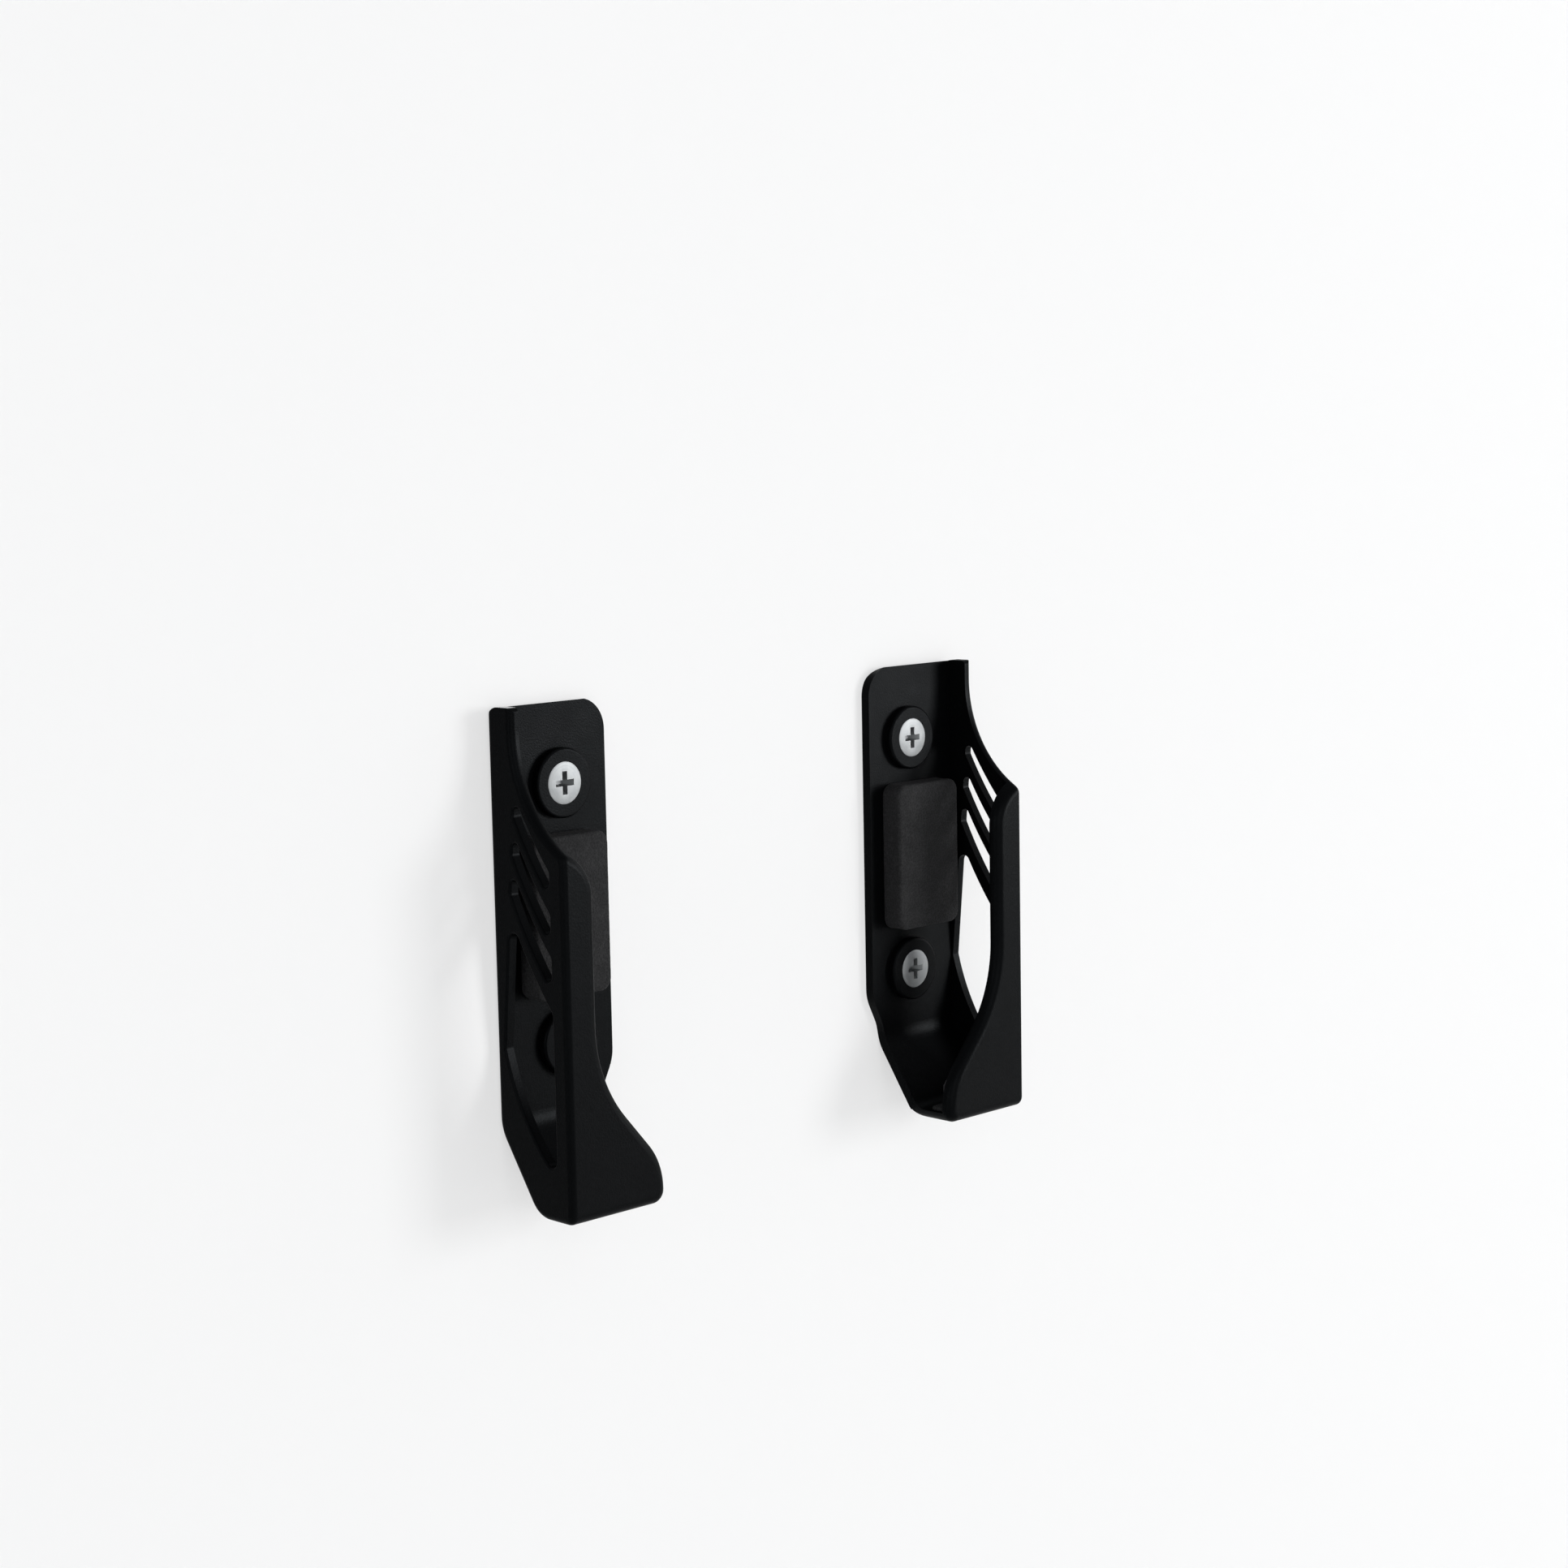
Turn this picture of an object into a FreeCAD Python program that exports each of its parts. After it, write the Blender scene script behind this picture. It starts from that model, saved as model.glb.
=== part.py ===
"""Tablet wall mount: a mirrored pair of moulded brackets with their screws, anchors, tape and pads.

Frame: +X to the right, +Y to the back, +Z up, in millimetres.
The brackets' flat backs lie on the plane Y = 0 and the origin is the middle of the four screws.
Each bracket is drawn in its own three distances: u inward from its outer side face,
d forward from its back and h up from its underside.
"""

import FreeCAD, Part
import math
import os

Vector = FreeCAD.Vector

# Moulding: overall sizes
slot_width = 118.8  # clear width between the two side walls
wall = 2.0  # thickness of the back plate, side wall and floor
lip_wall = 2.3  # thickness of the front lip
depth = 20.0  # back to front of the lip
height = 92.0  # underside to top of the back plate
back_width = 26.0  # back plate, outer side face to inner edge
foot_width = 22.8  # ledge and foot of the lip
lip_width = 7.5  # upright part of the lip
strip_depth = 6.6  # side wall at its top, above the swept edge

# Moulding: outlines
ledge_depth = 9.9  # level underside, from the front back to the chin
chin_height = 14.8  # the slanted chin rises to here at the back
sweep_radius = 24.0  # hollow front edge of the side wall
sweep_drop = 3.4  # the swept edge turns upright this far below the top
edge_fall = 0.45  # fall of the free edge across the front corner, for each millimetre
foot_bend_high = 25.3  # upper corner of the S-shaped edge of the foot
foot_bend_low = 7.6  # lower corner of the same edge
foot_hollow_radius = 27.0
foot_round_radius = 13.0
foot_corner_radius = 2.6
back_step_low = 17.5  # the back plate widens from here
back_step_rise = 6.5  # over this height
back_corner_radius = 6.0
step_radius = 8.0

# Moulding: roundings
top_back_radius = 3.0
strip_corner_radius = 0.9
chin_wall_radius = 8.0
chin_foot_radius = 5.5
front_edge_radius = 1.9  # all round the front of the lip
side_edge_radius = 1.2  # all round the outer side face
mouth_radius = 0.45  # edges of the slots and the window

# Openings of the side wall
front_border = 4.1  # front of the lip to the openings
back_border = 2.4  # back to the window, at the low end of its back edge
back_lean = 5.4  # degrees that the border behind the openings leans forward
bar_slope = 55.0  # slope of the bars, in degrees from level
bar_radius = 80.0
rim_rise = 4.95  # free edge to the first slot, measured upright in the middle of the openings
slot_rises = (4.6, 5.3, 6.0)  # the slots, from the top down
bar_rises = (3.0, 2.5, 4.0)  # the bar under each slot
window_front_low = 8.1  # underside to the window at its front
window_back_low = 30.0  # underside to the window at its back
window_curve_radius = 43.0
slot_corner_radius = 1.0
slot_corner_share = 0.46  # most that a corner takes of the slot's narrow end
window_corner_radius = 1.5

# Screw places and sizes
screw_inset = 14.9  # outer side face to the screws
screw_low = 29.0  # underside to the lower screw
screw_drop = 15.0  # top to the upper screw
boss_radius = 6.5
boss_rise = 1.6
boss_edge_radius = 0.5
relief_radius = 3.4  # shallow ring behind each hole, which clears the anchor's rim
relief_depth = 0.4
screw_head_radius = 4.0
screw_head_rim = 0.4
screw_hole_radius = 2.3
screw_shank_radius = 1.75
screw_length = 30.0
screw_tip = 5.0
cross_width = 1.1
cross_span = 4.6
cross_depth = 1.7

# Anchors
anchor_radius = 3.0
anchor_length = 28.0
anchor_plain = 9.0
anchor_barbs = 5
anchor_barb_rise = 0.45
anchor_slit = 0.8
anchor_gap = 0.02

# Tape and pads
tape_thickness = 0.8
tape_margin = 3.5
tape_screw_gap = 9.5  # ends of the tape to the screws
tape_corner_radius = 2.5
pad_thickness = 5.1
pad_side_gap = 2.5  # foam block to the side wall
pad_screw_gap = 9.0  # ends of the foam block to the screws
pad_corner_radius = 2.5
pad_edge_radius = 0.8
ledge_pad_thickness = 1.0
ledge_pad_gap = 1.0
lip_pad_thickness = 0.5
lip_pad_inset = 0.9
lip_pad_corner_radius = 0.5

# Worked out from the sizes above
half_span = slot_width / 2 + wall
screw_high = height - screw_drop
pattern_height = (screw_low + screw_high) / 2
chin_depth = depth - ledge_depth
sweep_top = height - sweep_drop
openings_front = depth - front_border
openings_middle = (strip_depth + openings_front) / 2
head_cone = screw_head_radius - screw_shank_radius
seat_depth = wall + boss_rise
margin = 1.0  # by which a cutting form passes the surface that it cuts


def at(u, d, h):
    """A point of the left bracket."""
    return Vector(u - half_span, -d, h - pattern_height)


def side_point(d, h, u=0.0):
    return at(u, d, h)


def front_point(u, h, d=0.0):
    return at(u, d, h)


def rounded(corners, place, closed=True):
    """A wire through corners (a, b, radius), each rounded by its radius; place(a, b) gives the point."""
    edges = []
    count = len(corners)
    starts = []
    for i, (a, b, radius) in enumerate(corners):
        here = Vector(a, b, 0)
        inner = closed or 0 < i < count - 1
        if not inner or radius <= 0:
            starts.append((here, None, here))
            continue
        before = Vector(*corners[i - 1][:2], 0).sub(here).normalize()
        after = Vector(*corners[(i + 1) % count][:2], 0).sub(here).normalize()
        half = before.getAngle(after) / 2
        reach = radius / math.tan(half)
        bisector = (before + after).normalize()
        middle = here + bisector * (radius / math.sin(half) - radius)
        starts.append((here + before * reach, middle, here + after * reach))
    for i, (enter, middle, leave) in enumerate(starts):
        if middle is not None:
            edges.append(Part.Arc(*[place(p.x, p.y) for p in (enter, middle, leave)]).toShape())
        if i < count - 1 or closed:
            following = starts[(i + 1) % count][0]
            if leave.distanceToPoint(following) > 1e-6:
                line = Part.LineSegment(place(leave.x, leave.y), place(following.x, following.y))
                edges.append(line.toShape())
    return Part.Wire(edges)


def prism(wire, travel):
    return Part.Face(wire).extrude(travel)


def chin_line(inset):
    """The chin's line set in by inset: its height at the back plate and its depth at the floor."""
    share = 1 + inset * math.hypot(1 / chin_depth, 1 / chin_height)
    at_wall = chin_height * (share - inset / chin_depth)
    at_floor = chin_depth * (share - inset / chin_height)
    return at_wall, at_floor


def outer_block():
    """The moulding's outer form before it is hollowed: the side outline, as wide as the back plate."""
    above = height + margin
    outline = rounded(
        [
            (0, above, 0),
            (0, chin_height, chin_wall_radius),
            (chin_depth, 0, chin_foot_radius),
            (depth, 0, 0),
            (depth, above, 0),
        ],
        side_point,
    )
    return prism(outline, Vector(back_width, 0, 0))


def cavity():
    """The space inside: the side outline set in by the walls, open at the top and the inner side."""
    at_wall, at_floor = chin_line(wall)
    above = height + 2 * margin
    outline = rounded(
        [
            (wall, above, 0),
            (wall, at_wall, chin_wall_radius - wall),
            (at_floor, wall, chin_foot_radius - wall),
            (depth - lip_wall, wall, 0),
            (depth - lip_wall, above, 0),
        ],
        lambda d, h: side_point(d, h, wall),
    )
    return prism(outline, Vector(back_width, 0, 0))


def sweep_height(d):
    """Height of the side wall's swept edge at a depth: an arc, then its tangent through the front wall."""
    centre = strip_depth + sweep_radius
    inner = min(d, depth - lip_wall)
    rise = math.sqrt(sweep_radius ** 2 - (centre - inner) ** 2)
    slope = (centre - inner) / rise
    return sweep_top - rise - slope * (d - inner)


def front_fall():
    """Fall of the swept edge for each millimetre forward, where it passes through the front wall."""
    return sweep_height(depth - lip_wall) - sweep_height(depth - lip_wall + 1)


def sweep_cut():
    """Everything in front of and above the side wall's free edge, which leans down inward."""
    above = height + 2 * margin
    front = depth + margin
    inner = depth - lip_wall
    middle = (strip_depth + inner) / 2
    lift = margin * edge_fall
    heights = [above, sweep_top, sweep_height(middle), sweep_height(inner), sweep_height(front), above]
    depths = [strip_depth, strip_depth, middle, inner, front, front]
    points = [side_point(d, h + lift, -margin) for d, h in zip(depths, heights)]
    edges = [
        Part.LineSegment(points[0], points[1]).toShape(),
        Part.Arc(*points[1:4]).toShape(),
        Part.LineSegment(points[3], points[4]).toShape(),
        Part.LineSegment(points[4], points[5]).toShape(),
        Part.LineSegment(points[5], points[0]).toShape(),
    ]
    travel = wall + margin
    return prism(Part.Wire(edges), Vector(travel, 0, -travel * edge_fall))


def lip_arc():
    """Round top of the lip: its radius, its centre (u, h) and its height at the side wall."""
    lean = math.atan(edge_fall)
    radius = (lip_width - wall) / (1 - math.sin(lean))
    start = sweep_height(depth) - wall * edge_fall
    return radius, lip_width - radius, start - radius * math.cos(lean), start


def lip_top_cut():
    """Everything above the lip's round top, which carries the side wall's free edge on without a step."""
    radius, centre, turn, start = lip_arc()
    half = (math.pi / 2 - math.atan(edge_fall)) / 2
    far = back_width + margin
    above = height + margin
    places = [
        (wall, start),
        (centre + radius * math.cos(half), turn + radius * math.sin(half)),
        (lip_width, turn),
        (far, turn),
        (far, above),
        (wall, above),
    ]
    drop = margin * front_fall()
    points = [front_point(u, h - drop, depth + margin) for u, h in places]
    edges = [Part.Arc(*points[:3]).toShape()]
    for here, following in zip(points[2:], points[3:] + points[:1]):
        edges.append(Part.LineSegment(here, following).toShape())
    travel = lip_wall + margin
    return prism(Part.Wire(edges), Vector(0, travel, travel * front_fall()))


def foot_outline(place, beyond):
    """The region inward of the lip's edge: upright, swung out in an S and down to the foot."""
    low = -margin
    high = lip_arc()[3]
    return rounded(
        [
            (lip_width, high, 0),
            (lip_width, foot_bend_high, foot_hollow_radius),
            (foot_width, foot_bend_low, foot_round_radius),
            (foot_width, 0, foot_corner_radius),
            (foot_width - foot_corner_radius - margin, 0, 0),
            (foot_width - foot_corner_radius - margin, low, 0),
            (beyond, low, 0),
            (beyond, high, 0),
        ],
        place,
    )


def foot_cut():
    """Trims the lip and the ledge to the foot's outline."""
    beyond = back_width + margin
    back = chin_line(wall)[1] - wall
    outline = foot_outline(lambda u, h: front_point(u, h, back), beyond)
    return prism(outline, Vector(0, -(depth + margin - back), 0))


def back_cut():
    """Trims the back plate and the chin to the back plate's outline."""
    beyond = back_width + margin
    back = chin_line(wall)[1] - wall
    inner = back_width - back_corner_radius - margin
    outline = rounded(
        [
            (foot_width, -margin, 0),
            (foot_width, back_step_low, step_radius),
            (back_width, back_step_low + back_step_rise, step_radius),
            (back_width, height, back_corner_radius),
            (inner, height, 0),
            (inner, height + margin, 0),
            (beyond, height + margin, 0),
            (beyond, -margin, 0),
        ],
        lambda u, h: front_point(u, h, back),
    )
    return prism(outline, Vector(0, back + margin, 0))


def bar_height(d, middle_height):
    """Height at a depth of a bar's hollow edge that passes middle_height in the middle of the openings."""
    slope = math.radians(bar_slope)
    centre_d = openings_middle + bar_radius * math.sin(slope)
    centre_h = middle_height + bar_radius * math.cos(slope)
    return centre_h - math.sqrt(bar_radius ** 2 - (centre_d - d) ** 2)


def bar_edge(middle_height):
    """A bar's edge across the whole side wall."""
    places = (-margin, openings_middle, depth)
    points = [side_point(d, bar_height(d, middle_height), -margin) for d in places]
    return Part.Arc(*points).toShape()


def slot_heights():
    """Top and bottom of each slot, and the top of the window, in the middle of the openings."""
    top = sweep_height(openings_middle) - rim_rise
    slots = []
    for slot, bar in zip(slot_rises, bar_rises):
        slots.append((top, top - slot))
        top -= slot + bar
    return slots, top


def between(top_edge, bottom_edge):
    """A prism through the side wall between two edges that both run from back to front."""
    top = [v.Point for v in top_edge.Vertexes]
    bottom = [v.Point for v in bottom_edge.Vertexes]
    sides = [Part.LineSegment(top[i], bottom[i]).toShape() for i in (0, 1)]
    wire = Part.Wire(Part.__sortEdges__([top_edge, bottom_edge, *sides]))
    return prism(wire, Vector(wall + 2 * margin, 0, 0))


def openings_field():
    """The part of the side wall that the openings share: leaning at the back, upright at the front."""
    low = back_lean_depth(0)
    high = back_lean_depth(height)
    outline = rounded(
        [(low, 0, 0), (high, height, 0), (openings_front, height, 0), (openings_front, 0, 0)],
        lambda d, h: side_point(d, h, -margin),
    )
    return prism(outline, Vector(wall + 2 * margin, 0, 0))


def soften(tool, radius):
    """Rounds the corners of an opening, which are the tool's edges along X."""
    across = wall + 2 * margin
    edges = [e for e in tool.Edges if abs(e.BoundBox.XLength - across) < 1e-4 and e.BoundBox.YLength < 1e-4]
    return tool.makeFillet(radius, edges)


def back_lean_depth(h):
    """Depth of the leaning back edge of the openings at a height."""
    return back_border + math.tan(math.radians(back_lean)) * (h - window_back_low)


def slot_corner(top, bottom):
    """Corner radius of a slot, limited by the slot's width across its steep, narrow back end."""
    back = back_lean_depth(top)
    rise = math.sin(math.radians(bar_slope)) + (openings_middle - back) / bar_radius
    across = (top - bottom) * math.cos(math.asin(min(rise, 1.0)))
    return min(slot_corner_radius, slot_corner_share * across)


def slot_tools():
    field = openings_field()
    tools = []
    for top, bottom in slot_heights()[0]:
        opening = field.common(between(bar_edge(top), bar_edge(bottom)))
        tools.append(soften(opening, slot_corner(top, bottom)))
    return tools


def window_curve():
    """The window's hollow lower edge, carried a little past both ends."""
    back = side_point(back_border, window_back_low, -margin)
    front = side_point(openings_front, window_front_low, -margin)
    chord = front - back
    half = chord.Length / 2
    sag = window_curve_radius - math.sqrt(window_curve_radius ** 2 - half ** 2)
    outward = Vector(0, -chord.z, chord.y).normalize()
    middle = back + chord * 0.5 + outward * sag
    circle = Part.Circle(back, middle, front)
    first, last = circle.parameter(back), circle.parameter(front)
    spare = (last - first) / 10
    return circle.toShape(first - spare, last + spare)


def window_tool():
    opening = openings_field().common(between(bar_edge(slot_heights()[1]), window_curve()))
    return soften(opening, window_corner_radius)


def screw_places():
    return (("lower", screw_low), ("upper", screw_high))


def along_screw(radius, low_d, high_d, h):
    """A cylinder on a screw's axis, between two depths."""
    return Part.makeCylinder(radius, high_d - low_d, at(screw_inset, high_d, h), Vector(0, 1, 0))


def seat(h):
    """Boss round one screw hole, softened on its front."""
    boss = along_screw(boss_radius, wall / 2, seat_depth, h)
    front = [e for e in boss.Edges if e.BoundBox.YMax < 1e-4 - seat_depth]
    return boss.makeFillet(boss_edge_radius, front)


def screw_hole(h):
    """Clearance hole with a countersink that the screw's head fills and a relief at the back."""
    hole = along_screw(screw_hole_radius, -margin, seat_depth + margin, h)
    rim = along_screw(screw_head_radius, seat_depth - screw_head_rim, seat_depth + margin, h)
    relief = along_screw(relief_radius, -margin, relief_depth, h)
    return hole.fuse([rim, countersink(h), relief])


def countersink(h):
    """The cone under a screw's head, at 90 degrees."""
    top = at(screw_inset, seat_depth - screw_head_rim, h)
    return Part.makeCone(screw_head_radius, screw_shank_radius, head_cone, top, Vector(0, 1, 0))


def back_block(sides, ends, corner, low_d, high_d):
    """A block on the back plate between its sides (u) and ends (h), between two depths."""
    outline = rounded(
        [
            (sides[0], ends[0], corner),
            (sides[1], ends[0], corner),
            (sides[1], ends[1], corner),
            (sides[0], ends[1], corner),
        ],
        lambda u, h: front_point(u, h, high_d),
    )
    return prism(outline, Vector(0, high_d - low_d, 0))


def tape_block(low_d, high_d):
    """The tape's place between the screws, between two depths."""
    sides = (tape_margin, back_width - tape_margin)
    ends = (screw_low + tape_screw_gap, screw_high - tape_screw_gap)
    return back_block(sides, ends, tape_corner_radius, low_d, high_d)


def flat_face(body, axis, place):
    """The body's largest flat face that lies across an axis (0, 1 or 2) at a place."""
    found = []
    for face in body.Faces:
        box = face.BoundBox
        low = (box.XMin, box.YMin, box.ZMin)[axis]
        high = (box.XMax, box.YMax, box.ZMax)[axis]
        if abs(low - place) < 1e-4 and abs(high - place) < 1e-4:
            found.append(face)
    return max(found, key=lambda face: face.Area)


def round_front(body):
    """Softens the whole outline of the lip and the foot's lower edge."""
    side = at(0, 0, 0).x
    front = flat_face(body, 1, -depth)
    edges = [e for e in front.OuterWire.Edges if e.BoundBox.XMax > side + 1e-4]
    return body.makeFillet(front_edge_radius, edges)


def round_side(body):
    """Softens the outline of the outer side face, up to where the top is cut."""
    top = at(0, 0, height).z
    side = flat_face(body, 0, at(0, 0, 0).x)
    edges = [e for e in side.OuterWire.Edges if e.BoundBox.ZMin < top]
    return body.makeFillet(side_edge_radius, edges)


def ease_openings(body):
    """Rounds the outer edges of the slots and the window."""
    side = flat_face(body, 0, at(0, 0, 0).x)
    edges = [e for wire in side.Wires if not wire.isSame(side.OuterWire) for e in wire.Edges]
    return body.makeFillet(mouth_radius, edges)


def top_cut():
    """Cuts the top level and rounds it in the side wall's outline."""
    above = height + 2 * margin
    back_start = height - top_back_radius - margin
    front_start = height - strip_corner_radius - margin
    outline = rounded(
        [
            (0, back_start, 0),
            (0, height, top_back_radius),
            (strip_depth, height, strip_corner_radius),
            (strip_depth, front_start, 0),
            (depth, front_start, 0),
            (depth, above, 0),
            (-margin, above, 0),
            (-margin, back_start, 0),
        ],
        lambda d, h: side_point(d, h, -margin),
    )
    return prism(outline, Vector(back_width + 2 * margin, 0, 0))


def bracket():
    """The left moulding."""
    body = outer_block().cut(cavity())
    for tool in (sweep_cut(), lip_top_cut(), foot_cut(), back_cut()):
        body = body.cut(tool)
    body = round_side(round_front(body.removeSplitter()))
    body = body.cut(top_cut())
    body = body.fuse([seat(h) for _, h in screw_places()])
    body = body.cut([screw_hole(h) for _, h in screw_places()])
    body = body.cut(slot_tools() + [window_tool()])
    body = body.cut(tape_block(-margin, tape_thickness))
    return ease_openings(body.removeSplitter())


def turned(profile):
    """A solid turned about +Y from points (radius, distance back)."""
    points = [Vector(radius, distance, 0) for radius, distance in profile]
    wire = Part.makePolygon(points + [points[0]])
    return Part.Face(wire).revolve(Vector(0, 0, 0), Vector(0, 1, 0), 360)


def screw(h):
    """Countersunk screw with a cross recess, a plain shank and a point."""
    profile = [
        (0, 0),
        (screw_head_radius, 0),
        (screw_head_radius, screw_head_rim),
        (screw_shank_radius, screw_head_rim + head_cone),
        (screw_shank_radius, screw_length - screw_tip),
        (0, screw_length),
    ]
    body = turned(profile)
    for length, width in ((cross_span, cross_width), (cross_width, cross_span)):
        body = body.cut(Part.makeBox(length, cross_depth, width, Vector(-length / 2, 0, -width / 2)))
    body.translate(at(screw_inset, seat_depth, h))
    return body


def anchor(h):
    """Nylon anchor: a plain collar end, barbed rings and a slit that lets it spread."""
    bore = screw_shank_radius + anchor_gap
    ring = (anchor_length - anchor_plain) / (anchor_barbs + 1)
    profile = [(bore, 0), (anchor_radius, 0), (anchor_radius, anchor_plain)]
    for i in range(anchor_barbs):
        start = anchor_plain + ring * i
        profile.append((anchor_radius - anchor_barb_rise, start + anchor_barb_rise))
        profile.append((anchor_radius, start + ring))
    profile.append((anchor_radius - 2 * anchor_barb_rise, anchor_length))
    profile.append((bore, anchor_length))
    body = turned(profile)
    wide = 2 * anchor_radius + margin
    slit_start = Vector(-wide / 2, anchor_plain + ring, -anchor_slit / 2)
    body = body.cut(Part.makeBox(wide, anchor_length, anchor_slit, slit_start))
    body.translate(at(screw_inset, 0, h))
    return body


def back_pad():
    """Foam block on the back plate, between the two screws, softened on its front."""
    sides = (wall + pad_side_gap, back_width - tape_margin)
    ends = (screw_low + pad_screw_gap, screw_high - pad_screw_gap)
    block = back_block(sides, ends, pad_corner_radius, wall, wall + pad_thickness)
    front = [e for e in block.Edges if e.BoundBox.YMax < 1e-4 - wall - pad_thickness]
    return block.makeFillet(pad_edge_radius, front)


def level_floor_start():
    """Depth at which the floor inside the moulding turns level."""
    turn = math.atan2(chin_height, chin_depth) / 2
    return chin_line(wall)[1] + (chin_foot_radius - wall) * math.tan(turn)


def ledge_pad():
    """Foam strip on the floor of the ledge."""
    back = level_floor_start() + ledge_pad_gap
    front = depth - lip_wall - lip_pad_thickness
    length = foot_width - wall - 2 * ledge_pad_gap
    corner = at(wall + ledge_pad_gap, front, wall)
    return Part.makeBox(length, front - back, ledge_pad_thickness, corner)


def lip_pad():
    """Felt lining on the inside of the lip, set in from the lip's edge all round."""
    corner = lip_pad_corner_radius
    low = wall + ledge_pad_thickness + lip_pad_inset
    high = lip_arc()[2]
    side = wall + lip_pad_inset
    foot = foot_width - lip_pad_inset
    upright = lip_width - lip_pad_inset
    outline = rounded(
        [
            (side, low, corner),
            (foot, low, corner),
            (foot, foot_bend_low, corner),
            (upright, foot_bend_high, foot_hollow_radius),
            (upright, high, corner),
            (side, high, corner),
        ],
        lambda u, h: front_point(u, h, depth - lip_wall),
    )
    return prism(outline, Vector(0, lip_pad_thickness, 0))


def left_pieces():
    pieces = {
        "bracket": bracket(),
        "wall_tape": tape_block(0, tape_thickness),
        "back_pad": back_pad(),
        "ledge_pad": ledge_pad(),
        "lip_pad": lip_pad(),
    }
    for name, h in screw_places():
        pieces[name + "_screw"] = screw(h)
        pieces[name + "_anchor"] = anchor(h)
    return pieces


def main():
    os.makedirs("parts", exist_ok=True)
    for name, shape in left_pieces().items():
        shape.exportStep("parts/left_" + name + ".step")
        mirrored = shape.mirror(Vector(0, 0, 0), Vector(1, 0, 0))
        mirrored.exportStep("parts/right_" + name + ".step")
        print(name, "valid", shape.isValid(), "solids", len(shape.Solids), "volume", round(shape.Volume, 1))


main()
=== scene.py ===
# %% [markdown]
# # Tablet wall mount
# The part is a mirrored pair of small moulded brackets, with the screws, anchors, tape and pads that go
# with them. This lesson dresses the solids that the CAD program made. It gives the hard ones their finish,
# makes the fine and the soft pieces anew, and sets up the studio in which the part is looked at.

# %% Load the solids
import math

import bmesh
import bpy
from mathutils import Matrix, Vector, noise


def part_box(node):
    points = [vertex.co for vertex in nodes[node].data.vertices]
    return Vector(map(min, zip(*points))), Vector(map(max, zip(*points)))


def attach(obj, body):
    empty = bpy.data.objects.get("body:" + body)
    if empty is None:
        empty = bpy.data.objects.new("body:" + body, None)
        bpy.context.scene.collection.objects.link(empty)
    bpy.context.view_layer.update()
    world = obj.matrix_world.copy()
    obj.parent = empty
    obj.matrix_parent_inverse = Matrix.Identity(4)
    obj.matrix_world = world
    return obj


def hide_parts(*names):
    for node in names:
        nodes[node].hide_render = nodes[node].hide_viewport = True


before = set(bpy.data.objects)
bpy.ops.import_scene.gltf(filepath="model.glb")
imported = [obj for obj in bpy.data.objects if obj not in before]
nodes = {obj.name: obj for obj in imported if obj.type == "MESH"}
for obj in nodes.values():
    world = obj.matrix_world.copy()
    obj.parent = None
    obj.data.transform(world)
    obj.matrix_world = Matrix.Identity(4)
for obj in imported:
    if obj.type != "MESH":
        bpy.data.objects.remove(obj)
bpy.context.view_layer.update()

SIDES = ("left", "right")
PLACES = ("lower", "upper")
MM = 0.001

# %% [markdown]
# ## The camera
# To see the part from where the photograph was taken, ask where the lens stood and how it was turned. The
# camera first looks level and straight back. Then three turns bring it round: to the right, down, and a
# little over on its side. The lens length follows from how fast the part's parallel edges run together.

# %% Camera
lens_place = Vector((-380.04, -399.47, 87.14)) * MM
turned_right, tipped_down, rolled = (math.radians(angle) for angle in (44.53, 7.08, 1.106))
lens = bpy.data.cameras.new("camera")
lens.sensor_width = 36
lens.lens = 65.616
lens.clip_start, lens.clip_end = 0.01, 50
camera = bpy.data.objects.new("camera", lens)
camera.matrix_world = (
    Matrix.Translation(lens_place)
    @ Matrix.Rotation(-turned_right, 4, "Z")
    @ Matrix.Rotation(math.pi / 2 - tipped_down, 4, "X")
    @ Matrix.Rotation(-rolled, 4, "Z")
)
bpy.context.scene.collection.objects.link(camera)
bpy.context.scene.camera = camera
print("camera looks along", [round(v, 3) for v in -camera.matrix_world.col[2].xyz])

# %% [markdown]
# ## The light
# Black plastic shows almost nothing of its own colour. What the eye reads is the light that lies on its
# satin skin, so the lamps are soft panels and not points. The main one stands on the right, a little higher
# than where the lips would mirror it to the camera. So the lips are brightest at the top and fade towards
# the foot. The second is weaker and stands on the left. The third is for the side that the photograph hides:
# it brings out the tape, the anchors and the grain of the flat backs. Two small ones give the outer side
# faces a sheen when they are looked at straight on. The sky of the studio fills the rest. It lights at less
# than half strength, and only the camera sees it as almost white.

# %% Lamps


def soft_panel(name, place, side, power):
    """A square lamp that faces the part. place and side are in metres and power is in watts."""
    data = bpy.data.lights.new(name, "AREA")
    data.shape, data.size, data.size_y, data.energy = "RECTANGLE", side, side, power
    lamp = bpy.data.objects.new(name, data)
    lamp.location = place
    lamp.rotation_mode = "QUATERNION"
    lamp.rotation_quaternion = (-Vector(place)).to_track_quat("-Z", "Y")
    bpy.context.scene.collection.objects.link(lamp)


panels = [
    ("main_panel", (1.36, -1.5, 0.22), 0.75, 21),
    ("low_panel", (-0.7, -1.5, 0.35), 1.2, 4.5),
    ("back_panel", (0.9, 1.7, 0.7), 1.2, 14),
    ("left_panel", (-1.9, -0.35, 0.3), 0.9, 3.5),
    ("right_panel", (1.9, -0.35, 0.3), 0.9, 3.5),
]
for panel in panels:
    soft_panel(*panel)
print("lamps:", [panel[0] for panel in panels])

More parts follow.
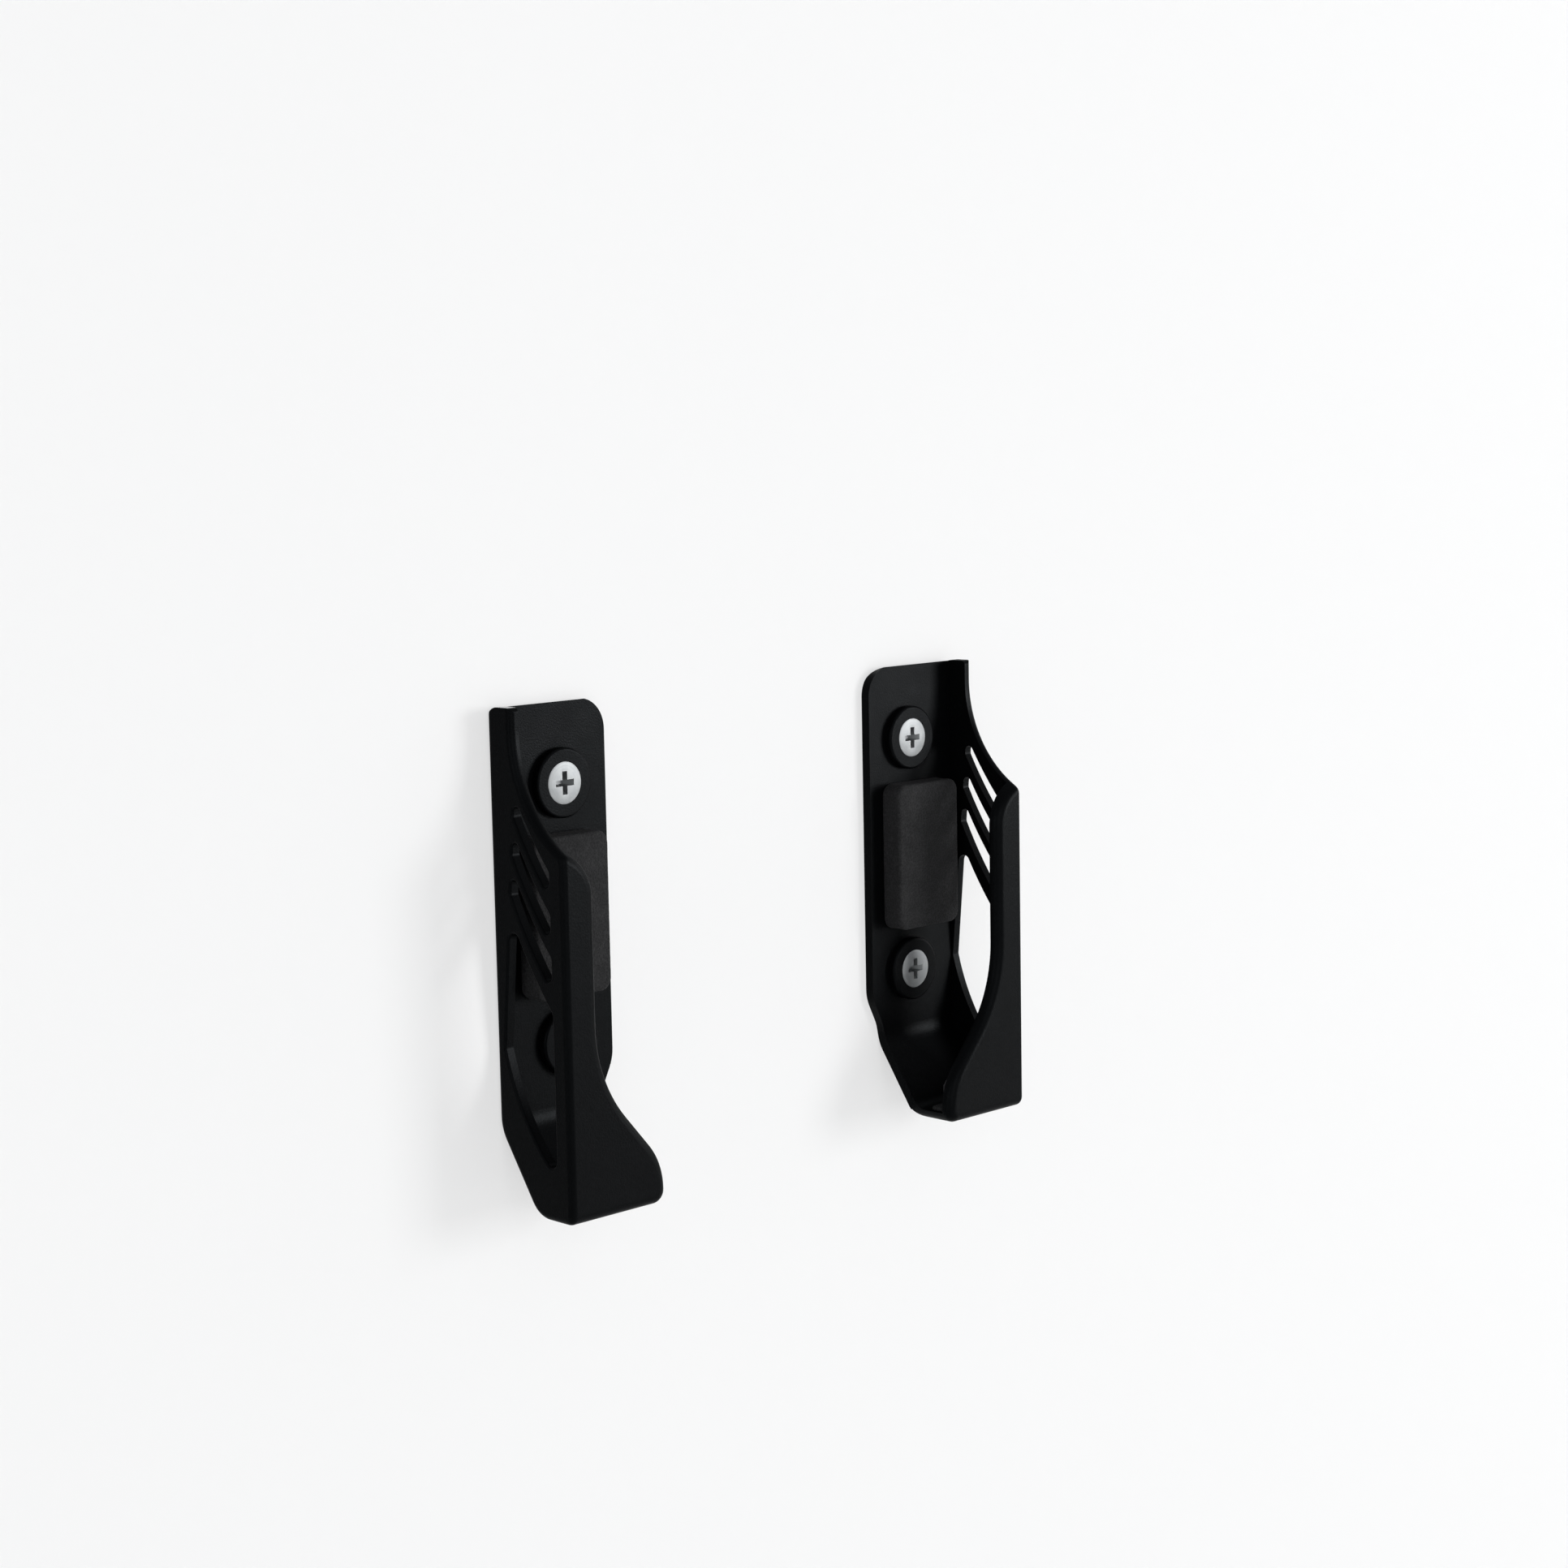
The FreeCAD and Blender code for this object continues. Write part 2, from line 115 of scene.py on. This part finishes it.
# %% Sky
sky_light = 0.42
seen_white = 0.95
sky = bpy.data.worlds.new("studio_sky")
bpy.context.scene.world = sky
sky.use_nodes = True
sky_nodes, sky_links = sky.node_tree.nodes, sky.node_tree.links
sky_nodes["Background"].inputs["Color"].default_value = (0.95, 0.97, 1.0, 1)
sky_nodes["Background"].inputs["Strength"].default_value = sky_light
white = sky_nodes.new("ShaderNodeBackground")
white.inputs["Color"].default_value = (1, 1, 1, 1)
white.inputs["Strength"].default_value = seen_white
seen = sky_nodes.new("ShaderNodeLightPath")
lit_or_seen = sky_nodes.new("ShaderNodeMixShader")
sky_links.new(seen.outputs["Is Camera Ray"], lit_or_seen.inputs["Fac"])
sky_links.new(sky_nodes["Background"].outputs["Background"], lit_or_seen.inputs[1])
sky_links.new(white.outputs["Background"], lit_or_seen.inputs[2])
sky_links.new(lit_or_seen.outputs["Shader"], sky_nodes["World Output"].inputs["Surface"])
bpy.context.scene.view_settings.view_transform = "Standard"
print("sky lights at", sky_light, "and is seen at", seen_white)

# %% [markdown]
# ## The backdrop and the floor
# The brackets' flat backs lie against an upright face, so a pale backdrop stands a hair behind them and
# takes their soft shadow. From behind, it would hide the screws and the anchors, and it would keep the
# light from the brackets' backs. So its material is only there for a camera's ray that meets its front,
# and it is clear for every other ray.

# %% Backdrop and floor
reach = 8.0
floor_level = -0.45
behind = 0.1 * MM
paper_white = (0.97, 0.97, 0.97, 1)


def stage_plane(name, corners, material):
    """One flat face of the studio."""
    mesh = bpy.data.meshes.new(name)
    mesh.from_pydata(corners, [], [(0, 1, 2, 3)])
    mesh.materials.append(material)
    obj = bpy.data.objects.new(name, mesh)
    bpy.context.scene.collection.objects.link(obj)


def new_material(name):
    """An empty material. Returns it with its nodes, its links and its shader."""
    material = bpy.data.materials.new(name)
    material.use_nodes = True
    tree = material.node_tree
    return material, tree.nodes, tree.links, tree.nodes["Principled BSDF"]


def studio_paper(name, colour, glow):
    """A matt paper that glows a little for the camera, so that shadows on it stay pale.

    glow is the share of its look that the glow has. Returns the material and its surface.
    """
    material, tree, links, shader = new_material(name)
    shader.inputs["Base Color"].default_value = (*colour, 1)
    shader.inputs["Roughness"].default_value = 0.9
    shine = tree.new("ShaderNodeEmission")
    shine.inputs["Color"].default_value = paper_white
    ray = tree.new("ShaderNodeLightPath")
    share = tree.new("ShaderNodeMath")
    share.operation = "MULTIPLY"
    share.inputs[1].default_value = glow
    paper = tree.new("ShaderNodeMixShader")
    links.new(ray.outputs["Is Camera Ray"], share.inputs[0])
    links.new(share.outputs["Value"], paper.inputs["Fac"])
    links.new(shader.outputs["BSDF"], paper.inputs[1])
    links.new(shine.outputs["Emission"], paper.inputs[2])
    links.new(paper.outputs["Shader"], tree["Material Output"].inputs["Surface"])
    return material, paper.outputs["Shader"]


def only_from_front(material, surface):
    """Makes a surface clear from behind, and clear for every ray that is not the camera's."""
    tree, links = material.node_tree.nodes, material.node_tree.links
    facing = tree.new("ShaderNodeNewGeometry")
    ray = tree.new("ShaderNodeLightPath")
    unseen = tree.new("ShaderNodeMath")
    unseen.operation = "SUBTRACT"
    unseen.inputs[0].default_value = 1.0
    passes = tree.new("ShaderNodeMath")
    passes.operation = "MAXIMUM"
    clear = tree.new("ShaderNodeBsdfTransparent")
    front_or_back = tree.new("ShaderNodeMixShader")
    links.new(ray.outputs["Is Camera Ray"], unseen.inputs[1])
    links.new(facing.outputs["Backfacing"], passes.inputs[0])
    links.new(unseen.outputs["Value"], passes.inputs[1])
    links.new(passes.outputs["Value"], front_or_back.inputs["Fac"])
    links.new(surface, front_or_back.inputs[1])
    links.new(clear.outputs["BSDF"], front_or_back.inputs[2])
    links.new(front_or_back.outputs["Shader"], tree["Material Output"].inputs["Surface"])


backdrop_paper, paper_surface = studio_paper("backdrop_paper", (0.88, 0.88, 0.88), 0.6)
only_from_front(backdrop_paper, paper_surface)
floor_paper = studio_paper("floor_paper", (0.82, 0.82, 0.81), 0.9)[0]
square = ((-reach, -reach), (reach, -reach), (reach, reach), (-reach, reach))
stage_plane("backdrop", [(x, behind, z) for x, z in square], backdrop_paper)
stage_plane("floor", [(x, y, floor_level) for x, y in square], floor_paper)
print("backdrop at y =", behind, "floor at z =", floor_level)

# %% [markdown]
# ## The moulded plastic
# Each bracket is one black moulding. The mould was sparked to a fine even grain, which breaks the gloss
# into a soft sheen. Painting grain by hand would never be even, so a noise bump at the grain's real size
# makes it. A slower noise changes the roughness a little, as handling does, and a third one adds the
# faint cloudiness that black plastic has where it flowed.

# %% Plastic
cloud_size = 14 * MM
handled_size = 5 * MM
cool_sheen = (0.86, 0.94, 1.0, 1)


def noise_at(tree, links, size, detail=2.0, stretch=(1, 1, 1)):
    """A noise in the piece's own coordinates. size is that of its blotches, in metres."""
    place = tree.new("ShaderNodeTexCoord")
    scaled = tree.new("ShaderNodeMapping")
    scaled.inputs["Scale"].default_value = stretch
    pattern = tree.new("ShaderNodeTexNoise")
    pattern.inputs["Scale"].default_value = 1 / size
    pattern.inputs["Detail"].default_value = detail
    links.new(place.outputs["Object"], scaled.inputs["Vector"])
    links.new(scaled.outputs["Vector"], pattern.inputs["Vector"])
    return pattern.outputs["Fac"]


def spread(tree, links, value, low, high):
    """Turns a noise, which mostly stays between a quarter and three quarters, into a range of values."""
    ranged = tree.new("ShaderNodeMapRange")
    ranged.inputs["From Min"].default_value = 0.25
    ranged.inputs["From Max"].default_value = 0.75
    ranged.inputs["To Min"].default_value = low
    ranged.inputs["To Max"].default_value = high
    links.new(value, ranged.inputs["Value"])
    return ranged.outputs["Result"]


def two_tones(tree, links, value, dark, light):
    """A colour that goes between two as a noise does."""
    mixed = tree.new("ShaderNodeMix")
    mixed.data_type = "RGBA"
    mixed.inputs["A"].default_value = (*dark, 1)
    mixed.inputs["B"].default_value = (*light, 1)
    links.new(value, mixed.inputs["Factor"])
    return mixed.outputs["Result"]


def raise_bump(tree, links, value, height, under=None):
    """A bump of a real height, on top of another bump if one is given."""
    bump = tree.new("ShaderNodeBump")
    bump.inputs["Distance"].default_value = height
    bump.inputs["Strength"].default_value = 1.0
    links.new(value, bump.inputs["Height"])
    if under is not None:
        links.new(under, bump.inputs["Normal"])
    return bump.outputs["Normal"]


def moulded_plastic(name, dark, light, roughness, grain, height, gloss):
    """A plastic with a moulded grain. grain is the grain's size and height its height, in metres."""
    material, tree, links, shader = new_material(name)
    cloud = noise_at(tree, links, cloud_size, detail=3)
    handled = noise_at(tree, links, handled_size, detail=5)
    fine = noise_at(tree, links, grain, detail=3)
    links.new(two_tones(tree, links, cloud, dark, light), shader.inputs["Base Color"])
    links.new(spread(tree, links, handled, roughness - 0.05, roughness + 0.06), shader.inputs["Roughness"])
    links.new(raise_bump(tree, links, fine, height), shader.inputs["Normal"])
    shader.inputs["Specular IOR Level"].default_value = gloss
    shader.inputs["Specular Tint"].default_value = cool_sheen
    return material


black_plastic = moulded_plastic(
    "black_plastic",
    dark=(0.0012, 0.0013, 0.0015),
    light=(0.0021, 0.0023, 0.0026),
    roughness=0.34,
    grain=0.33 * MM,
    height=0.034 * MM,
    gloss=0.046,
)
print("plastic:", black_plastic.name)

# %% [markdown]
# ## Dress the brackets
# The solids of the brackets have the right form already, down to their small radii. They stay as they
# are and only get the plastic.

# %% Brackets


def dress(node, material):
    """Gives a solid its finish."""
    solid = nodes[node]
    solid.data.materials.clear()
    solid.data.materials.append(material)


for side in SIDES:
    dress(f"{side}_bracket", black_plastic)
print("brackets dressed:", [f"{side}_bracket" for side in SIDES])

# %% [markdown]
# ## The anchors
# Each screw goes into a nylon anchor, which spreads and grips. Nylon is milky: some light goes in and
# comes out beside where it entered, so its shader has a little scattering under the skin. Its moulded
# skin is finer than the bracket's.

# %% Anchors
nylon = moulded_plastic(
    "nylon",
    dark=(0.42, 0.43, 0.43),
    light=(0.5, 0.51, 0.51),
    roughness=0.5,
    grain=0.25 * MM,
    height=0.008 * MM,
    gloss=0.45,
)
nylon_shader = nylon.node_tree.nodes["Principled BSDF"]
nylon_shader.inputs["Subsurface Weight"].default_value = 0.25
nylon_shader.inputs["Subsurface Radius"].default_value = (1.0, 1.0, 1.0)
nylon_shader.inputs["Subsurface Scale"].default_value = 0.6 * MM
for side in SIDES:
    for place in PLACES:
        dress(f"{side}_{place}_anchor", nylon)
print("anchors dressed:", len(PLACES) * len(SIDES))

# %% [markdown]
# ## The screws
# The solid of a screw has a plain shank. A real one has a thread, a slightly rounded rim and a recess
# whose four wings narrow towards the bottom. The thread is built row by row: every row of points runs
# along the helix, so its crest is a true edge of the mesh. The recess is cut by a tapered cross.

# %% Screw sizes
# Radius and distance of the head's rings, in mm, from its flat front to the plain neck.
head_outline = [(3.7, 0), (3.9, 0.06), (4.0, 0.2), (4.0, 0.4), (1.75, 2.65), (1.75, 3.4)]
head_rows = len(head_outline)
shank_radius = 1.75 * MM
root_radius = 1.2 * MM
screw_length = 30.0 * MM
tip_length = 5.0 * MM
neck_end = 4.2 * MM
same_point = 0.002 * MM
thread_pitch = 1.8 * MM
around = 48
# How far the thread stands out at each step of one pitch, from the root at 0 to the crest at 1.
flank = [0.0, 0.0, 0.05, 0.55, 1.0, 1.0, 0.55, 0.05]
steps = len(flank)
print("turns of the thread:", round((screw_length - neck_end) / thread_pitch, 1))

# %% Screw body


def on_axis(radius, distance, share):
    """A point of a turned or threaded form on the +Y axis. share is the part of a turn, clockwise."""
    angle = 2 * math.pi * share
    return Vector((radius * math.sin(angle), distance, radius * math.cos(angle)))


def thread_radius(distance, phase):
    """Radius of the thread's surface: flat root, sloped flanks, narrow crest, and a cone at the tip."""
    to_tip = min(1.0, max(0.0, (screw_length - distance) / tip_length))
    start = min(1.0, max(0.0, (distance - neck_end) / thread_pitch))
    root = shank_radius + (root_radius - shank_radius) * start
    crest = root + (shank_radius - root) * flank[phase]
    return crest * to_tip


def screw_rows():
    """The rows of points from the head's rim to the tip. Those of the thread run along the helix."""
    rows = []
    for radius, distance in head_outline:
        rows.append([on_axis(radius * MM, distance * MM, i / around) for i in range(around)])
    count = math.ceil((screw_length - neck_end) / thread_pitch + 1) * steps
    for j in range(-steps, count):
        row = []
        for i in range(around):
            share = i / around
            distance = neck_end + (j / steps + share) * thread_pitch
            distance = min(max(distance, neck_end), screw_length)
            row.append(on_axis(thread_radius(distance, j % steps), distance, share))
        rows.append(row)
    return rows


def closed_mesh(bm, name):
    """A new mesh from a bmesh, with its faces turned outwards."""
    bmesh.ops.recalc_face_normals(bm, faces=bm.faces)
    mesh = bpy.data.meshes.new(name)
    bm.to_mesh(mesh)
    bm.free()
    return mesh


def screw_mesh():
    """The screw without its recess, closed from the head's middle to the tip."""
    rows = screw_rows()
    bm = bmesh.new()
    made = [[bm.verts.new(point) for point in row] for row in rows]
    middle = bm.verts.new((0, 0, 0))
    for i in range(around):
        bm.faces.new((middle, made[0][i], made[0][(i + 1) % around]))
    for j in range(len(rows) - 1):
        for i in range(around):
            right = (i + 1) % around
            # A row of the thread ends one pitch further on than it began, so its last face joins a later row.
            ahead = steps if j >= head_rows and right == 0 else 0
            if j + 1 + ahead < len(rows):
                bm.faces.new((made[j][i], made[j + ahead][right], made[j + 1 + ahead][right], made[j + 1][i]))
    bmesh.ops.remove_doubles(bm, verts=bm.verts, dist=same_point)
    bmesh.ops.dissolve_degenerate(bm, edges=bm.edges, dist=same_point)
    return closed_mesh(bm, "screw")


plain_screw = screw_mesh()
print("screw faces:", len(plain_screw.polygons))

# %% [markdown]
# ## The recess
# A boolean takes the tapered cross out of the head. The result is read back from Blender's evaluated
# mesh, so no modifier is left on the piece.

# %% Recess
# The cross from arm to arm, the width of an arm and the distance, in mm, before the head and at the bottom.
cross_rings = ((4.9, 1.25, -0.5), (1.9, 0.75, 2.0))
quarter_turns = ((1, 0, 0, 1), (0, 1, -1, 0), (-1, 0, 0, -1), (0, -1, 1, 0))


def tapered_cross():
    """A closed cross that narrows with depth. Each quarter turn adds an inner corner and an arm's end."""
    bm = bmesh.new()
    corners = []
    for across, width, distance in cross_rings:
        a, w = across / 2 * MM, width / 2 * MM
        for xx, xz, zx, zz in quarter_turns:
            for x, z in ((w, w), (a, w), (a, -w)):
                corners.append(bm.verts.new((x * xx + z * xz, distance * MM, x * zx + z * zz)))
    count = len(corners) // 2
    bm.faces.new(corners[:count])
    bm.faces.new(corners[count:])
    for i in range(count):
        ahead = (i + 1) % count
        bm.faces.new((corners[i], corners[ahead], corners[ahead + count], corners[i + count]))
    return closed_mesh(bm, "cross")


def evaluated(obj):
    """The object's mesh with its modifiers applied."""
    graph = bpy.context.evaluated_depsgraph_get()
    return bpy.data.meshes.new_from_object(obj.evaluated_get(graph))


def cut_recess(mesh):
    """The mesh less the cross."""
    body = bpy.data.objects.new("screw_blank", mesh)
    cross = bpy.data.objects.new("cross", tapered_cross())
    for helper in (body, cross):
        bpy.context.scene.collection.objects.link(helper)
    cut = body.modifiers.new("cut", "BOOLEAN")
    cut.operation, cut.solver, cut.object = "DIFFERENCE", "EXACT", cross
    result = evaluated(body)
    for helper in (body, cross):
        bpy.data.objects.remove(helper)
    return result


def shade(mesh, sharp_angle):
    """Smooth shading that keeps edges sharper than an angle, in degrees."""
    for polygon in mesh.polygons:
        polygon.use_smooth = True
    mesh.set_sharp_from_angle(angle=math.radians(sharp_angle))


screw_form = cut_recess(plain_screw)
shade(screw_form, sharp_angle=28)
print("with the recess:", len(screw_form.polygons))

# %% [markdown]
# ## The zinc
# The screws are zinc plated steel. Zinc is a blue-grey metal, and the lathe leaves fine rings in it. A
# ring is a place at one distance from the axis, so the noise for them is read at that distance and not at
# the point itself. Slow blotches stand for the coat over the zinc, which is never quite even.

# %% Zinc and screws


def rings_at(tree, links, size):
    """A noise that only changes with the distance from the Y axis and along it."""
    place = tree.new("ShaderNodeTexCoord")
    parts = tree.new("ShaderNodeSeparateXYZ")
    flat = tree.new("ShaderNodeCombineXYZ")
    distance = tree.new("ShaderNodeVectorMath")
    distance.operation = "LENGTH"
    point = tree.new("ShaderNodeCombineXYZ")
    pattern = tree.new("ShaderNodeTexNoise")
    pattern.inputs["Scale"].default_value = 1 / size
    links.new(place.outputs["Object"], parts.inputs["Vector"])
    links.new(parts.outputs["X"], flat.inputs["X"])
    links.new(parts.outputs["Z"], flat.inputs["Z"])
    links.new(flat.outputs["Vector"], distance.inputs[0])
    links.new(distance.outputs["Value"], point.inputs["X"])
    links.new(parts.outputs["Y"], point.inputs["Y"])
    links.new(point.outputs["Vector"], pattern.inputs["Vector"])
    return pattern.outputs["Fac"]


def turned_zinc():
    """Zinc with fine rings and slow blotches."""
    material, tree, links, shader = new_material("zinc")
    blotch = noise_at(tree, links, 1.6 * MM, detail=4)
    turned = rings_at(tree, links, 0.14 * MM)
    tones = two_tones(tree, links, blotch, dark=(0.25, 0.26, 0.27), light=(0.35, 0.36, 0.36))
    shader.inputs["Metallic"].default_value = 1.0
    links.new(tones, shader.inputs["Base Color"])
    links.new(spread(tree, links, turned, 0.44, 0.6), shader.inputs["Roughness"])
    links.new(raise_bump(tree, links, turned, 0.004 * MM), shader.inputs["Normal"])
    return material


zinc = turned_zinc()
screw_form.materials.clear()
screw_form.materials.append(zinc)

for side in SIDES:
    for place in PLACES:
        node = f"{side}_{place}_screw"
        low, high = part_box(node)
        screw = bpy.data.objects.new(f"{node}_threaded", screw_form)
        screw.location = ((low.x + high.x) / 2, low.y, (low.z + high.z) / 2)
        bpy.context.scene.collection.objects.link(screw)
        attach(screw, "root")
        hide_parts(node)
        print(screw.name, "at", [round(v / MM, 1) for v in screw.location])

# %% [markdown]
# ## Soft pieces
# Foam and felt are never quite flat or sharp, so their solids only show where they go. Each is made anew
# from its solid: the flat faces become single faces, the sharp edges are rounded, and a comb of cuts gives
# the piece a fine square net. Its points are then pushed a little by a rule that says how it sags or frays.

# %% A soft piece from its solid
flat_below = math.radians(0.5)
edge_above = math.radians(50)
on_cut = 1e-7
welded = 1e-6


def comb(bm, axis, low, high, square):
    """Cuts the mesh across one axis at even steps."""
    normal = Vector((axis == 0, axis == 1, axis == 2))
    count = max(1, round((high - low) / square))
    for i in range(1, count):
        point = normal * (low + (high - low) * i / count)
        everything = bm.verts[:] + bm.edges[:] + bm.faces[:]
        bmesh.ops.bisect_plane(bm, geom=everything, plane_co=point, plane_no=normal, dist=on_cut)


def netted(source, rounding, square, low, high):
    """A copy of a solid's mesh with rounded edges and a fine square net."""
    bm = bmesh.new()
    bm.from_mesh(source)
    bmesh.ops.remove_doubles(bm, verts=bm.verts, dist=welded)
    bmesh.ops.dissolve_limit(bm, angle_limit=flat_below, verts=bm.verts, edges=bm.edges)
    sharp = [e for e in bm.edges if len(e.link_faces) == 2 and e.calc_face_angle() > edge_above]
    bmesh.ops.bevel(
        bm, geom=sharp, offset=rounding, segments=3, profile=0.5, affect="EDGES", clamp_overlap=True
    )
    for axis in range(3):
        comb(bm, axis, low[axis], high[axis], square)
    bmesh.ops.remove_doubles(bm, verts=bm.verts, dist=2 * welded)
    return closed_mesh(bm, "net")


def roughen(point, normal, size, height):
    """A push inwards by a noise with blotches of a size: none at its crests, twice the height in its pits."""
    return normal * height * (noise.noise(point / size) - 1)


def soft_piece(node, name, push, material, rounding, square):
    """A soft piece in its solid's place, with edges of a rounding and a net of squares.

    push(share, point, normal) says how far one point moves. share is its place in the box, from 0 to 1.
    """
    low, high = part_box(node)
    mesh = netted(nodes[node].data, rounding, square, low, high)
    size = high - low
    normals = [vertex.normal.copy() for vertex in mesh.vertices]
    for vertex, normal in zip(mesh.vertices, normals):
        share = Vector([(vertex.co[k] - low[k]) / size[k] for k in range(3)])
        vertex.co += push(share, vertex.co.copy(), normal)
    shade(mesh, sharp_angle=80)
    mesh.materials.clear()
    mesh.materials.append(material)
    piece = bpy.data.objects.new(name, mesh)
    bpy.context.scene.collection.objects.link(piece)
    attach(piece, "root")
    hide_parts(node)
    print(name, "faces:", len(mesh.polygons))
    return piece


# %% [markdown]
# ## The foam
# The back pad keeps what the brackets hold pressed forward against the lip, and a thin strip lies on the
# ledge. Both are closed-cell foam: matt, dark, and full of tiny cut bubbles. A Voronoi pattern has the
# right look for cells, since each of its regions is one bubble.
# Each bubble is painted darker towards its middle, where its bump sinks: that is painted shade in its hollow.

# %% Foam
crown_depth = 0.45 * MM
waist_depth = 0.3 * MM
sunk_ends = 0.12 * MM


def foam(name, dark, light, cell):
    """A closed-cell foam, with painted shade in its bubbles' hollows. cell is the size of its bubbles, in
    metres.
    """
    material, tree, links, shader = new_material(name)
    place = tree.new("ShaderNodeTexCoord")
    bubbles = tree.new("ShaderNodeTexVoronoi")
    bubbles.inputs["Scale"].default_value = 1 / cell
    links.new(place.outputs["Object"], bubbles.inputs["Vector"])
    blotch = noise_at(tree, links, 3 * MM, detail=3)
    # The colour darkens towards each bubble's middle, where the bump below sinks it: painted shade in the
    # hollows.
    links.new(two_tones(tree, links, bubbles.outputs["Distance"], dark, light), shader.inputs["Base Color"])
    links.new(spread(tree, links, blotch, 0.78, 0.95), shader.inputs["Roughness"])
    uneven = raise_bump(tree, links, blotch, 0.05 * MM)
    cells = raise_bump(tree, links, bubbles.outputs["Distance"], 0.1 * MM, under=uneven)
    links.new(cells, shader.inputs["Normal"])
    shader.inputs["Specular IOR Level"].default_value = 0.3
    return material


def pad_push(share, point, normal):
    """The back pad: crowned in front, drawn in a little between its corners."""
    a, b = 2 * share.x - 1, 2 * share.z - 1
    forward = 1 - share.y
    crown = crown_depth * forward * (1 - (1 - a * a) * (1 - b * b))
    waist = -waist_depth * math.sin(math.pi * forward)
    across = math.copysign(a ** 8 * (1 - b * b), a)
    upward = math.copysign(b ** 8 * (1 - a * a), b)
    inward = Vector((across, 0, upward)) * waist
    return Vector((0, crown, 0)) + inward + roughen(point, normal, size=0.7 * MM, height=0.03 * MM)


def strip_push(share, point, normal):
    """The ledge strip: pressed a little thinner towards its ends."""
    a = 2 * share.x - 1
    sink = -sunk_ends * share.z * a ** 4
    return Vector((0, 0, sink)) + roughen(point, normal, size=0.6 * MM, height=0.03 * MM)


black_foam = foam("black_foam", dark=(0.006, 0.006, 0.0065), light=(0.02, 0.02, 0.021), cell=0.4 * MM)
for side in SIDES:
    back_pad = soft_piece(
        f"{side}_back_pad", f"{side}_back_foam", pad_push, black_foam,
        rounding=0.3 * MM, square=0.6 * MM,
    )
    strip = soft_piece(
        f"{side}_ledge_pad", f"{side}_ledge_foam", strip_push, black_foam,
        rounding=0.25 * MM, square=0.4 * MM,
    )

# %% [markdown]
# ## The felt
# A thin felt lines the inside of the lip, so that it marks nothing. Felt is a mat of short fibres that
# lie in all directions. Two noises that are stretched in different directions stand for them, and a
# sheen gives the pale fuzz that shows at a low angle.
# Their tone rises and falls with their bump, lighter where they stand high and darker between them: that is
# painted shade.

# %% Felt


def matted_felt():
    """Black felt: fibres that lie both ways, with painted shade between them, and a pale fuzz."""
    material, tree, links, shader = new_material("black_felt")
    lying = noise_at(tree, links, 0.5 * MM, detail=4, stretch=(6, 1, 1))
    standing = noise_at(tree, links, 0.5 * MM, detail=4, stretch=(1, 1, 6))
    matted = tree.new("ShaderNodeMath")
    matted.operation = "MAXIMUM"
    links.new(lying, matted.inputs[0])
    links.new(standing, matted.inputs[1])
    fibres = matted.outputs["Value"]
    # The tone follows the fibres' bump, so it is painted shade between the fibres.
    tones = two_tones(tree, links, fibres, dark=(0.006, 0.006, 0.007), light=(0.022, 0.022, 0.024))
    links.new(tones, shader.inputs["Base Color"])
    links.new(raise_bump(tree, links, fibres, 0.09 * MM), shader.inputs["Normal"])
    shader.inputs["Roughness"].default_value = 0.95
    shader.inputs["Specular IOR Level"].default_value = 0.2
    shader.inputs["Sheen Weight"].default_value = 0.25
    shader.inputs["Sheen Roughness"].default_value = 0.5
    return material


def felt_push(share, point, normal):
    """Felt: a soft uneven surface that stays within its thickness."""
    return roughen(point, normal, size=0.45 * MM, height=0.05 * MM)


black_felt = matted_felt()
for side in SIDES:
    lining = soft_piece(
        f"{side}_lip_pad", f"{side}_lip_felt", felt_push, black_felt,
        rounding=0.15 * MM, square=0.45 * MM,
    )

# %% [markdown]
# ## The tape
# A double-sided strip lies in a shallow recess of each back plate. It is a grey acrylic foam, so it uses
# the same bubbles as the pads, smaller and paler, and its cut sides are a little wavy.

# %% Tape


def tape_push(share, point, normal):
    """Tape: flat on both faces, with cut sides that waver a little."""
    side_on = 1 - abs(normal.y)
    return side_on * roughen(point, normal, size=2.5 * MM, height=0.05 * MM)


# The tape's bubbles get the same painted shade in their hollows as the pads'.
grey_tape = foam("grey_tape", dark=(0.13, 0.13, 0.135), light=(0.22, 0.22, 0.225), cell=0.22 * MM)
for side in SIDES:
    soft_piece(
        f"{side}_wall_tape", f"{side}_tape_strip", tape_push, grey_tape,
        rounding=0.1 * MM, square=0.6 * MM,
    )
